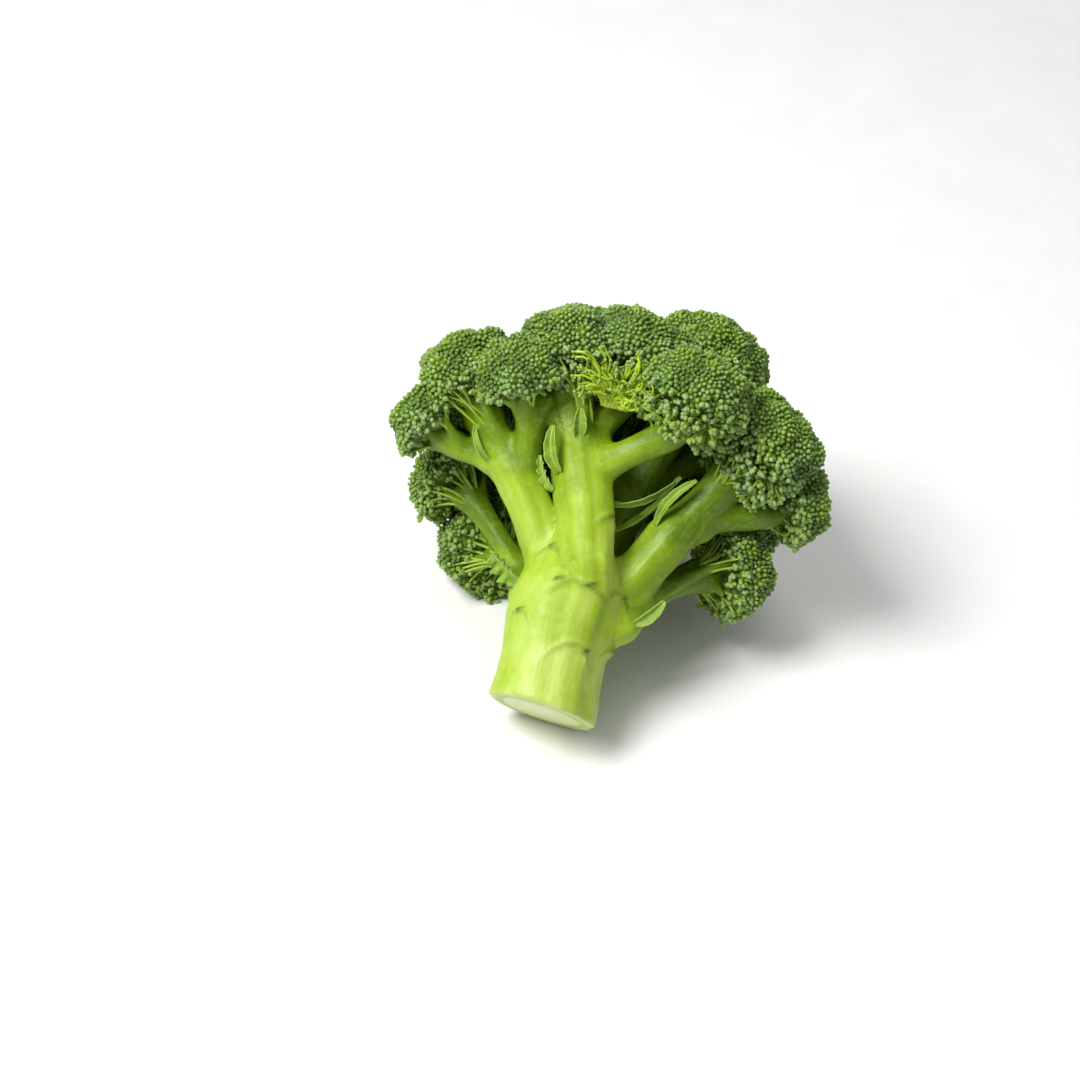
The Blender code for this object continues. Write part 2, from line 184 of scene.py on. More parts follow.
FLOOR_HALF = 4
FLOOR_ROOM = 0.05 * MM  # everything stays this far off the floor
FLARE = 0.3  # how much a branch widens towards its florets
TOWARDS_FRONT = np.array((0.0, -0.73, 0.68))  # square to the stalk, up and away from the surface it lies on

rng = np.random.default_rng(20)


def unit(v):
    """Vectors made one long."""
    v = np.asarray(v, float)
    return v / np.maximum(np.linalg.norm(v, axis=-1, keepdims=True), 1e-12)


def ease(low, high, x):
    """0 at low, 1 at high, with a soft start and end."""
    t = np.clip((np.asarray(x, float) - low) / (high - low), 0, 1)
    return t * t * (3 - 2 * t)


# ---------------------------------------------------------------- reading the CAD nodes


def node_mesh(name):
    """A CAD node's points and triangles, with the points that coincide made one."""
    mesh = frame["nodes"][name].data
    points = np.empty(len(mesh.vertices) * 3)
    mesh.vertices.foreach_get("co", points)
    mesh.calc_loop_triangles()
    faces = np.empty(len(mesh.loop_triangles) * 3, int)
    mesh.loop_triangles.foreach_get("vertices", faces)
    kept, index = np.unique(np.round(points.reshape(-1, 3), 6), axis=0, return_inverse=True)
    faces = index.reshape(-1)[faces].reshape(-1, 3)
    whole = (faces[:, 0] != faces[:, 1]) & (faces[:, 1] != faces[:, 2]) & (faces[:, 0] != faces[:, 2])
    return kept, faces[whole]


def area_vectors(points, faces):
    """Each triangle's normal, as long as its area."""
    corners = points[faces]
    return np.cross(corners[:, 1] - corners[:, 0], corners[:, 2] - corners[:, 0]) / 2


def middle_of(points, faces):
    """The centre of a closed mesh's volume."""
    corners = points[faces]
    volumes = np.einsum("ij,ij->i", corners[:, 0], np.cross(corners[:, 1], corners[:, 2]))
    return (corners.sum(axis=1) / 4 * volumes[:, None]).sum(axis=0) / volumes.sum()


def spread(points, values, count):
    """A polyline made smooth, with count points spread evenly along it, and values at them."""
    at = np.concatenate([[0], np.cumsum(np.linalg.norm(np.diff(points, axis=0), axis=1))])
    even = np.linspace(0, at[-1], count)
    slopes = np.gradient(points, at, axis=0)
    k = np.clip(np.searchsorted(at, even, side="right") - 1, 0, len(at) - 2)
    span = (at[k + 1] - at[k])[:, None]
    t = (even - at[k])[:, None] / span
    smooth = (
        points[k] * (2 * t**3 - 3 * t**2 + 1)
        + points[k + 1] * (3 * t**2 - 2 * t**3)
        + slopes[k] * span * (t**3 - 2 * t**2 + t)
        + slopes[k + 1] * span * (t**3 - t**2)
    )
    return smooth, np.interp(even, at, values)


def slices(points, faces, start, end, count):
    """Cuts a node square to the line from start to end, and gives each cut's middle and girth."""
    along = unit(end - start)
    corners = points[faces]
    levels = ((points - start) @ along)[faces]
    middles, girths = [], []
    for level in np.linspace(0, np.linalg.norm(end - start), count):
        above = levels > level
        crossed = above.any(axis=1) & ~above.all(axis=1)
        ends = []
        for a, b in ((0, 1), (1, 2), (2, 0)):
            low, high = levels[crossed, a], levels[crossed, b]
            cut = (low > level) != (high > level)
            share = np.where(cut, (level - low) / np.where(cut, high - low, 1), np.nan)[:, None]
            ends.append(corners[crossed, a] + (corners[crossed, b] - corners[crossed, a]) * share)
        pairs = [row[~np.isnan(row[:, 0])][:2] for row in np.array(ends).transpose(1, 0, 2)]
        if len(pairs) < 4:
            continue
        pairs = np.array(pairs)
        lengths = np.linalg.norm(pairs[:, 1] - pairs[:, 0], axis=1)
        middles.append((pairs.mean(axis=1) * lengths[:, None]).sum(axis=0) / lengths.sum())
        girths.append(lengths.sum())
    return np.array(middles), np.array(girths)


def radii_of(middles, girths, along):
    """The radii of round stems, whose cuts are ellipses where the stem leans away from along."""
    lean = np.abs(unit(np.gradient(middles, axis=0)) @ along)
    return girths / (math.pi * (1 + 1 / np.clip(lean, 0.6, 1)))


def branch_line(name, inside):
    """A branch's middle line and radii, from inside its parent to a point inside its floret."""
    points, faces = node_mesh("branch_" + name)
    nearest = np.argsort(np.linalg.norm(points - inside, axis=1))[:8]
    tip = points[nearest].mean(axis=0)
    root = points[np.argmax(np.linalg.norm(points - tip, axis=1))]
    along = unit(tip - root)
    middles, girths = slices(points, faces, root + along * SLICE_INSET, tip - along * MM, BRANCH_SLICES)
    radii = radii_of(middles, girths, along)
    first = next(k for k in range(2, len(radii)) if radii[k] > 0.85 * np.median(radii))
    middles, radii = middles[first:], radii[first:]
    deep = tip + unit(inside - tip) * TIP_DEPTH
    return np.vstack([middles, tip, deep]), np.concatenate([radii, radii[-1:], radii[-1:] * 0.9])


def rooted(line, radii, others):
    """A branch's line and radii, led back into whichever of the others its foot is nearest to."""
    foot = line[0]
    best = min(others, key=lambda stem: stem.measure(foot[None], room=40 * MM)[0][0])
    inward = unit(best.line[np.argmin(np.linalg.norm(best.line - foot, axis=1))] - foot)
    back = -unit(line[2] - foot)
    near = foot + unit(back + 0.7 * inward) * FOOT_STEPS[0]
    far = near + unit(back + 1.6 * inward) * FOOT_STEPS[1]
    radii = radii * (1 + FLARE * ease(0.35, 0.95, np.linspace(0, 1, len(radii))))
    radii = np.concatenate([radii[:1] * 0.7, radii[:1] * 0.9, radii])
    return spread(np.vstack([far, near, line]), radii, STEM_POINTS)


def stalk_line():
    """The stalk's middle line and radii, from beyond its cut up, and the cut's middle and direction."""
    points, faces = node_mesh("stalk")
    vectors = area_vectors(points, faces)
    areas = np.linalg.norm(vectors, axis=1)
    alike = np.round(vectors / areas[:, None], 2)
    kind = np.unique(alike, axis=0, return_inverse=True)[1].reshape(-1)
    flat = kind == np.argmax(np.bincount(kind, weights=areas))
    cut_out = unit(vectors[flat].sum(axis=0))
    cut_middle = (points[faces[flat]].mean(axis=1) * areas[flat, None]).sum(axis=0) / areas[flat].sum()
    far = points[np.argsort(-((points - cut_middle) @ -cut_out))[:12]].mean(axis=0)
    along = unit(far - cut_middle)
    middles, girths = slices(points, faces, cut_middle + along * SLICE_INSET, far - along * MM, STALK_SLICES)
    radii = radii_of(middles, girths, along)
    past = middles[0] - unit(middles[2] - middles[0]) * CUT_OVERRUN
    line, radii = spread(np.vstack([past, middles]), np.concatenate([radii[:1], radii]), STEM_POINTS)
    return line, radii, cut_middle, cut_out


# ---------------------------------------------------------------- stems as a field of distances


class Stem:
    """A stem as a middle line with radii. Its facets run along it."""

    def __init__(self, line, radii, facets=0, turn=0.0, tone=0.0):
        self.line, self.radii, self.facets, self.turn, self.tone = line, radii, facets, turn, tone
        self.side = self.sides()
        steps = np.linalg.norm(np.diff(line, axis=0), axis=1)
        self.at = np.concatenate([[0], np.cumsum(steps)])

    def sides(self):
        """A direction square to the line at each point, carried along it without twisting."""
        tangents = unit(np.gradient(self.line, axis=0))
        side = unit(np.cross(tangents[0], (0.31, 0.2, 0.93)))
        found = []
        for tangent in tangents:
            side = unit(side - tangent * (side @ tangent))
            found.append(side)
        return np.array(found)

    def measure(self, points, room=6 * MM):
        """Each point's distance to the stem's surface, its length along the stem and its angle around it.

        Points further off than room have an endless distance.
        """
        best = np.full(len(points), np.inf)
        length, angle = np.zeros(len(points)), np.zeros(len(points))
        for k in range(len(self.line) - 1):
            start, step = self.line[k], self.line[k + 1] - self.line[k]
            reach = np.abs(step) / 2 + self.radii[k : k + 2].max() + room
            near = np.flatnonzero((np.abs(points - start - step / 2) < reach).all(axis=1))
            share = np.clip((points[near] - start) @ step / (step @ step), 0, 1)
            off = points[near] - start - share[:, None] * step
            radius = self.radii[k] + (self.radii[k + 1] - self.radii[k]) * share
            distance = np.linalg.norm(off, axis=1) - radius
            nearer = distance < best[near]
            near, off, share = near[nearer], off[nearer], share[nearer]
            side = self.side[k] + (self.side[k + 1] - self.side[k]) * share[:, None]
            across = np.cross(unit(step), self.side[k])
            best[near] = distance[nearer]
            length[near] = self.at[k] + share * np.linalg.norm(step)
            angle[near] = np.arctan2(off @ across, np.einsum("ij,ij->i", off, side))
        if self.facets:
            radius = np.interp(length, self.at, self.radii)
            best = best - np.minimum(radius, FACET_REACH) * FACETS * self.relief(length, angle)
        return best, length, angle

    def relief(self, length, angle):
        """The long soft ridges of a stem, from -1 to 1. They wander a little along it."""
        wander = 0.5 * np.sin(length / (19 * MM) + self.turn)
        wander = wander + 0.3 * np.sin(length / (7.3 * MM) + 2 * self.turn)
        main = np.cos(self.facets * (angle + self.turn) + wander)
        fine = np.cos((2 * self.facets + 1) * angle + 3 * self.turn - 1.7 * wander)
        return 0.7 * main + 0.3 * fine

    def box(self, room):
        wide = self.radii[:, None] + room
        return (self.line - wide).min(axis=0), (self.line + wide).max(axis=0)


def grown_into(total, stems, soft, low):
    """Adds stems to a grid that holds the sum of exp(-distance / soft) for each of its points."""
    last_place = np.array(total.shape) - 1
    for stem in stems:
        a, b = stem.box(REACH)
        first = np.maximum(np.floor((a - low) / SKIN_STEP).astype(int), 0)
        last = np.minimum(np.ceil((b - low) / SKIN_STEP).astype(int), last_place)
        axes = [np.arange(first[k], last[k] + 1) for k in range(3)]
        grid = np.stack(np.meshgrid(*axes, indexing="ij"), axis=-1).reshape(-1, 3)
        distance = stem.measure(low + grid * SKIN_STEP)[0]
        near = distance < REACH
        total[tuple(grid[near].T)] += np.exp(-distance[near] / soft)


def distance_of(total, soft):
    """The distance that a sum of exp(-distance / soft) stands for."""
    return np.where(total > 0, -soft * np.log(np.maximum(total, 1e-30)), REACH)


def field_of(thick, thin, cut_middle, cut_out, low, size):
    """The distance to the stems' joined surface on a grid, soft at the crotches and flat at the cut."""
    total = np.zeros(size)
    grown_into(total, thick, CROTCH, low)
    total = np.exp(-distance_of(total, CROTCH) / FORK)
    grown_into(total, thin, FORK, low)
    grids = np.meshgrid(*[low[k] + np.arange(size[k]) * SKIN_STEP for k in range(3)], indexing="ij")
    past = sum((grids[k] - cut_middle[k]) * cut_out[k] for k in range(3))
    return soft_most(distance_of(total, FORK), past, CUT_ROUND)


def soft_most(a, b, soft):
    """The larger of a and b, rounded where they are alike."""
    share = np.clip((soft - np.abs(a - b)) / soft, 0, 1)
    return np.maximum(a, b) + share**2 * soft / 4


def surface_of(field, low):
    """The closed surface where a grid of distances is zero: its points and its four-sided faces."""
    inside = field < 0
    corners = [(i, j, k) for i in (0, 1) for j in (0, 1) for k in (0, 1)]

    def at(values, corner):
        return values[tuple(slice(c, n - 1 + c) for c, n in zip(corner, values.shape))]

    count = sum(at(inside, c).astype(np.int8) for c in corners)
    mixed = (count > 0) & (count < 8)
    where = np.argwhere(mixed)
    number = np.full(mixed.shape, -1)
    number[tuple(where.T)] = np.arange(len(where))
    offset, crossings = np.zeros((len(where), 3)), np.zeros(len(where))
    for a in corners:
        for axis in range(3):
            if a[axis]:
                continue
            b = tuple(c + (k == axis) for k, c in enumerate(a))
            va, vb = field[tuple((where + a).T)], field[tuple((where + b).T)]
            crossed = (va < 0) != (vb < 0)
            share = np.where(crossed, va / np.where(crossed, va - vb, 1), 0)
            place = np.array(a, float) + share[:, None] * (np.array(b) - np.array(a))
            offset += np.where(crossed[:, None], place, 0)
            crossings += crossed
    points = low + (where + offset / crossings[:, None]) * SKIN_STEP
    faces = []
    for axis in range(3):
        u, v = (axis + 1) % 3, (axis + 2) % 3
        step = np.eye(3, dtype=int)
        ahead = np.roll(inside, -1, axis)
        edge = np.argwhere(inside != ahead)
        edge = edge[(edge[:, axis] < field.shape[axis] - 1) & (edge[:, u] > 0) & (edge[:, v] > 0)]
        edge = edge[(edge[:, u] < field.shape[u] - 1) & (edge[:, v] < field.shape[v] - 1)]
        ring = [edge - step[u] - step[v], edge - step[v], edge, edge - step[u]]
        quads = np.stack([number[tuple(cell.T)] for cell in ring], axis=1)
        out = inside[tuple(edge.T)]
        faces.append(np.where(out[:, None], quads, quads[:, ::-1]))
    return points, np.concatenate(faces)


# ---------------------------------------------------------------- florets


def ball(subdivisions):
    """An even ball's directions, triangles and edges."""
    bm = bmesh.new()
    bmesh.ops.create_icosphere(bm, subdivisions=subdivisions, radius=1)
    directions = unit([v.co for v in bm.verts])
    faces = np.array([[v.index for v in f.verts] for f in bm.faces])
    edges = np.array([[v.index for v in e.verts] for e in bm.edges])
    bm.free()
    return directions, faces, edges


def evened(values, edges, rounds):
    """Values on a mesh's points, averaged with their neighbours."""
    ends = np.concatenate([edges, edges[:, ::-1]])
    degree = np.bincount(ends[:, 0], minlength=len(values))
    for _ in range(rounds):
        around = np.bincount(ends[:, 0], weights=values[ends[:, 1]], minlength=len(values)) / degree
        values = (values + around) / 2
    return values


def seeds_on(points, spacing):
    """Some of the points, chosen at random and no nearer to each other than spacing."""
    chosen = []
    free = np.ones(len(points), bool)
    for k in rng.permutation(len(points)):
        if free[k]:
            chosen.append(k)
            free &= np.linalg.norm(points - points[k], axis=1) > spacing
    return points[chosen]


def bulges(points, seeds, spacing):
    """Round bulges about the seeds, from 1 at their tops to 0 in the creases between them."""
    away = np.min(np.linalg.norm(points[:, None] - seeds[None], axis=2), axis=1)
    return np.clip(1 - (away / (0.68 * spacing)) ** 2, 0, 1)


class Floret:
    """One floret: its branch and the shape of its body."""

    def __init__(self, name, directions, edges):
        self.name = name
        points, faces = node_mesh("floret_" + name)
        self.middle = middle_of(points, faces)
        self.line, self.radii = branch_line(name, self.middle)
        self.axis = unit(self.middle - self.line[-3])
        tree = BVHTree.FromPolygons(points.tolist(), faces.tolist())
        hits = [tree.ray_cast(Vector(self.middle), Vector(d))[3] for d in directions]
        outline = np.array([0 if h is None else h for h in hits])
        outline[outline == 0] = np.median(outline)
        outline = evened(outline, edges, FACET_SMOOTHING)
        smooth = self.middle + directions * outline[:, None]
        seeds = [seeds_on(smooth, spacing) for spacing, _ in SWELLINGS]
        bumps = [bulges(smooth, near, spacing) for near, (spacing, _) in zip(seeds, SWELLINGS)]
        self.lobes = seeds[0]
        facing = directions @ self.axis
        under = ease(*UNDERSIDE, facing)
        side = ease(0.98, 0.5, facing) * ease(-0.6, 0.0, facing)
        radius = outline + SIDE_ROOM * side - BUD_SINK
        radius -= sum(height * (0.7 - bump) for bump, (_, height) in zip(bumps, SWELLINGS))
        radius = evened(radius, edges, 1) * (1 - HOLLOW * under)
        self.points = self.middle + directions * radius[:, None]
        self.points[:, 2] = np.maximum(self.points[:, 2], FLOOR_MARGIN)
        self.full = smooth
        # crest: how high a point sits on its lumps; the bud finish darkens buds where it is low, as painted
        # shade.
        self.crest = bumps[1] * (0.5 + 0.3 * bumps[0] + 0.2 * bumps[2])
        self.rim = ease(*RIM, facing)
        self.facing = facing

    def bud_share(self):
        """1 where closed buds cover the body, 0 where none do."""
        return 1 - ease(*BUDS_END, self.facing)

    def fringe_share(self):
        """1 where thin bud stems reach the body's rim."""
        return ease(*FRINGE_STARTS, self.facing) * (1 - ease(*FRINGE_ENDS, self.facing))


def curve_between(start, heading, end, count):
    """A smooth line that leaves start along heading and bends to end."""
    reach = np.linalg.norm(end - start)
    middle = start + unit(heading) * reach * 0.5
    t = np.linspace(0, 1, count)[:, None]
    return (1 - t) ** 2 * start + 2 * t * (1 - t) * middle + t**2 * end


def fan_of(floret):
    """The thick bud stems that leave a branch on its way, one for each lobe of its floret."""
    stems = []
    for lobe in floret.lobes:
        out = unit(lobe - floret.middle)
        if out @ floret.axis < -0.75:
            continue
        k = int(rng.integers(FIRST_FORK, len(floret.line) - 3))
        heading = unit(floret.line[k + 1] - floret.line[k])
        end = floret.middle + (lobe - floret.middle) * 0.8
        line = curve_between(floret.line[k], heading, end, FAN_POINTS)
        radii = np.minimum(np.linspace(FAN_SHARE * floret.radii[k], FAN_TIP, FAN_POINTS), FAN_MOST)
        stems.append(Stem(line, radii, facets=3, turn=len(stems), tone=FAN_TONE))
    if floret.name in FILL_STEMS:
        start, after = floret.line[FIRST_FORK : FIRST_FORK + 2]
        line = curve_between(start, unit(after - start), FILL_STEMS[floret.name], FAN_POINTS)
        radii = np.linspace(*FILL_RADIUS, FAN_POINTS)
        stems.append(Stem(line, radii, facets=3, turn=len(stems), tone=FAN_TONE))
    return stems


def stalklets_of(floret, fan):
    """The thin stems from the thick ones to a floret's rim: each one's points, and its end's direction."""
    rim = floret.points[floret.fringe_share() > 0.5]
    if floret.name in LOW_RIMS:
        low = (floret.facing > -0.85) & (floret.facing < -0.4)
        drop = rng.uniform(-3, 4, (low.sum(), 1)) * MM
        rim = np.vstack([rim, floret.full[low] - floret.axis * drop])
    found = []
    for place in seeds_on(rim, STALKLET_SPACING):
        near = min(fan, key=lambda stem: np.linalg.norm(stem.line[-3] - place))
        k = int(rng.integers(3, 7))
        out = unit(unit(place - floret.middle) - 0.25 * floret.axis + rng.normal(0, 0.25, 3))
        end = place + out * rng.uniform(-1.0, 2.4) * MM
        heading = unit(near.line[k + 1] - near.line[k]) + rng.normal(0, 0.15, 3)
        found.append((curve_between(near.line[k], heading, end, STALKLET_POINTS), out))
    return found


def tuft_of(floret):
    """The curly bare stems at the front of a floret: each one's points, and its end's direction."""
    right = np.array((1.0, 0, 0))
    up = np.cross(right, -TOWARDS_FRONT)
    heart = floret.middle + TUFT_OFF
    found = []
    for _ in range(TUFT_STEMS):
        aside, above = rng.uniform(-1, 1, 2)
        end = heart + right * aside * TUFT_HALF[0] + up * above * TUFT_HALF[1]
        end = end + TOWARDS_FRONT * rng.normal(0, 1.2) * MM
        start = heart - TOWARDS_FRONT * 8 * MM - up * 10 * MM + right * (0.3 * aside * TUFT_HALF[0])
        heading = up + 0.35 * TOWARDS_FRONT + rng.normal(0, 0.3, 3)
        line = curve_between(start, heading, end, TUFT_POINTS)
        t = np.linspace(0, 1, TUFT_POINTS)[:, None]
        turn = 2 * math.pi * (rng.uniform() + rng.uniform(0.9, 2.2) * t)
        wide = rng.uniform(1.2, 3.4) * MM * t
        line = line + wide * (np.cos(turn) * right + np.sin(turn) * unit(up + TOWARDS_FRONT))
        found.append((line, unit(line[-1] - line[-2])))
    return found


def cluster_at(end, out, count, width):
    """Loose buds about the end of a stem: their places, their directions and their sizes."""
    buds = [(end + out * 0.5 * width, out, 1.0)]
    for _ in range(count - 1):
        way = unit(out + rng.normal(0, 0.75, 3))
        place = end + way * width * rng.uniform(0.35, 0.8) - out * 0.25 * width
        buds.append((place, way, rng.uniform(0.7, 1.1)))
    return buds


# ---------------------------------------------------------------- meshes and Geometry Nodes


def placed(name, data):
    """A new object at the origin that shows a mesh, a lamp or a camera."""
    obj = bpy.data.objects.new(name, data)
    bpy.context.scene.collection.objects.link(obj)
    return obj


def write(mesh, label, values, kind="FLOAT"):
    """Stores a number or a direction for each of a mesh's points."""
    stored = mesh.attributes.new(label, kind, "POINT")
    field = "vector" if kind == "FLOAT_VECTOR" else "value"
    stored.data.foreach_set(field, np.asarray(values, np.float32).ravel())


def mesh_object(name, points, faces, attributes=None):
    mesh = bpy.data.meshes.new(name)
    mesh.from_pydata(np.asarray(points).tolist(), [], np.asarray(faces).tolist())
    for label, values in (attributes or {}).items():
        write(mesh, label, values)
    mesh.shade_smooth()
    mesh.update()
    return placed(name, mesh)


def lines_object(lines, thickness):
    """Lines of points as one mesh of edges, with how thick each point's stem is."""
    points = np.concatenate(lines)
    edges, start = [], 0
    for line in lines:
        edges += [(k, k + 1) for k in range(start, start + len(line) - 1)]
        start += len(line)
    mesh = bpy.data.meshes.new("lines")
    mesh.from_pydata(points.tolist(), edges, [])
    write(mesh, "thick", np.concatenate(thickness))
    return placed("lines", mesh)


def points_object(places, ways, sizes):
    """Points as a mesh, with a direction and a size at each."""
    mesh = bpy.data.meshes.new("places")
    mesh.from_pydata(np.array(places).tolist(), [], [])
    write(mesh, "out", ways, "FLOAT_VECTOR")
    write(mesh, "size", sizes)
    # Loose buds get crest 1, so they have no painted crease shade.
    write(mesh, "crest", np.ones(len(sizes)))
    return placed("places", mesh)


def clusters_object(stems, count, width):
    """Loose buds at the ends of stems, which are their points and their ends' directions."""
    buds = []
    for line, out in stems:
        buds += cluster_at(line[-1], out, count, width)
    return points_object(*zip(*buds))


def keep_piece(obj, nodes):
    """Attaches a finished piece to the root body, and hides the CAD nodes that it stands for."""
    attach(obj, ROOT)
    if nodes:
        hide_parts(*nodes)


SOCKETS = {float: "NodeSocketFloat", int: "NodeSocketInt"}


def new_tree(name, sizes, things):
    """An empty node tree with a geometry input, sizes and things (objects or materials) as named inputs."""
    tree = bpy.data.node_groups.new(name, "GeometryNodeTree")
    tree.interface.new_socket("Geometry", in_out="INPUT", socket_type="NodeSocketGeometry")
    for label, value in sizes.items():
        socket = tree.interface.new_socket(label, in_out="INPUT", socket_type=SOCKETS[type(value)])
        socket.default_value = value
    for label, thing in things.items():
        kind = "NodeSocketMaterial" if isinstance(thing, bpy.types.Material) else "NodeSocketObject"
        tree.interface.new_socket(label, in_out="INPUT", socket_type=kind)
    tree.interface.new_socket("Geometry", in_out="OUTPUT", socket_type="NodeSocketGeometry")
    return tree


def add(tree, kind, values=None, **settings):
    """A new node, with its settings, and with its inputs set to values or joined to other nodes' outputs."""
    node = tree.nodes.new(kind)
    for label, value in settings.items():
        setattr(node, label, value)
    for key, value in (values or {}).items():
        if isinstance(value, bpy.types.NodeSocket):
            tree.links.new(value, node.inputs[key])
        else:
            node.inputs[key].default_value = value
    return node


def maths(tree, operation, a, b):
    """The result of a sum on two values."""
    return add(tree, "ShaderNodeMath", {0: a, 1: b}, operation=operation).outputs[0]


def rest_on_floor(mesh):
    """Presses flat whatever would reach below the surface that the head lies on."""
    points = np.empty(len(mesh.vertices) * 3, np.float32)
    mesh.vertices.foreach_get("co", points)
    points[2::3] = np.maximum(points[2::3], FLOOR_ROOM)
    mesh.vertices.foreach_set("co", points)
    mesh.update()


def run_tree(obj, tree, name, values):
    """The plain mesh object that a tree makes of obj, which is then removed."""
    modifier = obj.modifiers.new(tree.name, "NODES")
    modifier.node_group = tree
    for item in tree.interface.items_tree:
        if item.in_out == "INPUT" and item.name in values:
            modifier[item.identifier] = values[item.name]
    graph = bpy.context.evaluated_depsgraph_get()
    mesh = bpy.data.meshes.new_from_object(obj.evaluated_get(graph), depsgraph=graph)
    source = obj.data
    bpy.data.objects.remove(obj)
    bpy.data.meshes.remove(source)
    mesh.name = name
    rest_on_floor(mesh)
    return placed(name, mesh)


def named(tree, name, kind="FLOAT"):
    """The attribute of this name, in a Geometry Nodes tree."""
    return add(tree, "GeometryNodeInputNamedAttribute", {"Name": name}, data_type=kind).outputs["Attribute"]


def dress(tree, geometry, given):
    """Ends a tree: plain smooth faces with their finish."""
    real = add(tree, "GeometryNodeRealizeInstances", {"Geometry": geometry})
    smooth = add(tree, "GeometryNodeSetShadeSmooth", {0: real.outputs["Geometry"]})
    finish = {"Geometry": smooth.outputs["Geometry"], "Material": given["Finish"]}
    dressed = add(tree, "GeometryNodeSetMaterial", finish)
    out = tree.nodes.new("NodeGroupOutput")
    tree.links.new(dressed.outputs["Geometry"], out.inputs["Geometry"])


def set_shapes(tree, points, turned, scale, tint_seed, given):
    """Ends a tree with its shape set on points, each with a tint of its own."""
    shape = add(tree, "GeometryNodeObjectInfo", {"Object": given["Shape"]}, transform_space="ORIGINAL")
    values = {"Points": points, "Instance": shape.outputs["Geometry"], "Rotation": turned, "Scale": scale}
    set_on = add(tree, "GeometryNodeInstanceOnPoints", values)
    tint = add(tree, "FunctionNodeRandomValue", {"Seed": tint_seed}, data_type="FLOAT").outputs[1]
    values = {"Geometry": set_on.outputs["Instances"], "Name": "tint", "Value": tint}
    tinted = add(tree, "GeometryNodeStoreNamedAttribute", values, data_type="FLOAT", domain="INSTANCE")
    dress(tree, tinted.outputs["Geometry"], given)


def scatter_tree(name, things):
    """Sets a shape on a surface, its foot on the surface and its tip outwards, each a little its own way.

    The surface says where, in its attribute share, and how big, in its attribute size.
    """
    sizes = {"Spacing": 1.0, "Width": 1.0, "Vary": 0.12, "Tilt": 0.25, "Seed": 0}
    tree = new_tree(name, sizes, things)
    given = tree.nodes.new("NodeGroupInput").outputs
    per_area = maths(tree, "MULTIPLY", maths(tree, "POWER", given["Spacing"], -2.0), 6.0)
    values = {
        "Mesh": given["Geometry"],
        "Distance Min": given["Spacing"],
        "Density Max": per_area,
        "Density Factor": named(tree, "share"),
        "Seed": given["Seed"],
    }
    points = add(tree, "GeometryNodeDistributePointsOnFaces", values, distribute_method="POISSON").outputs
    back = maths(tree, "MULTIPLY", given["Tilt"], -1.0)
    low = add(tree, "ShaderNodeCombineXYZ", {0: back, 1: back, 2: -math.pi}).outputs[0]
    high = add(tree, "ShaderNodeCombineXYZ", {0: given["Tilt"], 1: given["Tilt"], 2: math.pi}).outputs[0]
    values = {"Seed": given["Seed"], "Min": low, "Max": high}
    tilt = add(tree, "FunctionNodeRandomValue", values, data_type="FLOAT_VECTOR").outputs["Value"]
    values = {"Rotation": points["Rotation"], "Rotate By": tilt}
    turned = add(tree, "FunctionNodeRotateRotation", values, rotation_space="LOCAL").outputs["Rotation"]
    smaller = maths(tree, "SUBTRACT", 1.0, given["Vary"])
    bigger = maths(tree, "ADD", 1.0, given["Vary"])
    values = {"Seed": given["Seed"], 2: smaller, 3: bigger}
    chance = add(tree, "FunctionNodeRandomValue", values, data_type="FLOAT").outputs[1]
    scale = maths(tree, "MULTIPLY", maths(tree, "MULTIPLY", chance, named(tree, "size")), given["Width"])
    set_shapes(tree, points["Points"], turned, scale, SCATTER_TINT_SEED, given)
    return tree


def place_tree(name, things):
    """Sets a shape on each point of a mesh, turned to its attribute out and as big as its attribute size."""
    tree = new_tree(name, {"Width": 1.0, "Seed": 0}, things)
    given = tree.nodes.new("NodeGroupInput").outputs
    out_way = named(tree, "out", "FLOAT_VECTOR")
    turned = add(tree, "FunctionNodeAlignRotationToVector", {"Vector": out_way}, axis="Z").outputs["Rotation"]
    scale = maths(tree, "MULTIPLY", named(tree, "size"), given["Width"])
    set_shapes(tree, given["Geometry"], turned, scale, given["Seed"], given)
    return tree


def tube_tree(name, things):
    """Round stems along lines, as thick as the lines' attribute thick says, closed at their ends."""
    tree = new_tree(name, {"Sides": 6, "Fullness": 1.0}, things)
    given = tree.nodes.new("NodeGroupInput").outputs
    curve = add(tree, "GeometryNodeMeshToCurve", {"Mesh": given["Geometry"]})
    radius = maths(tree, "MULTIPLY", named(tree, "thick"), given["Fullness"])
    ring = add(tree, "GeometryNodeCurvePrimitiveCircle", {"Resolution": given["Sides"], "Radius": 1.0})
    values = {
        "Curve": curve.outputs["Curve"],
        "Profile Curve": ring.outputs["Curve"],
        "Scale": radius,
        "Fill Caps": True,
    }
    tube = add(tree, "GeometryNodeCurveToMesh", values)
    dress(tree, tube.outputs["Mesh"], given)
    return tree


def turned_shape(name, profile, sides, ridges=0.0):
    """A round shape from (radius, height) pairs, closed at both ends, with its height from 0 to 1 in tip."""
    points, faces, tips = [], [], []
    top = max(height for _, height in profile)
    for radius, height in profile[1:-1]:
        for k in range(sides):
            angle = 2 * math.pi * k / sides
            reach = radius * (1 + ridges * math.cos(3 * angle))
            points.append((reach * math.cos(angle), reach * math.sin(angle), height))
            tips.append(max(height, 0) / top)
    rings = len(profile) - 2
    for r in range(rings - 1):
        for k in range(sides):
            a, b = r * sides + k, r * sides + (k + 1) % sides
            faces.append((a, b, b + sides, a + sides))
    low, high = len(points), len(points) + 1
    points += [(0, 0, profile[0][1]), (0, 0, profile[-1][1])]
    tips += [0, 1]
    for k in range(sides):
        faces.append((low, (k + 1) % sides, k))
        faces.append((high, (rings - 1) * sides + k, (rings - 1) * sides + (k + 1) % sides))
    mesh = bpy.data.meshes.new(name)
    mesh.from_pydata(points, [], faces)
    write(mesh, "tip", tips)
    mesh.shade_smooth()
    return placed(name, mesh)


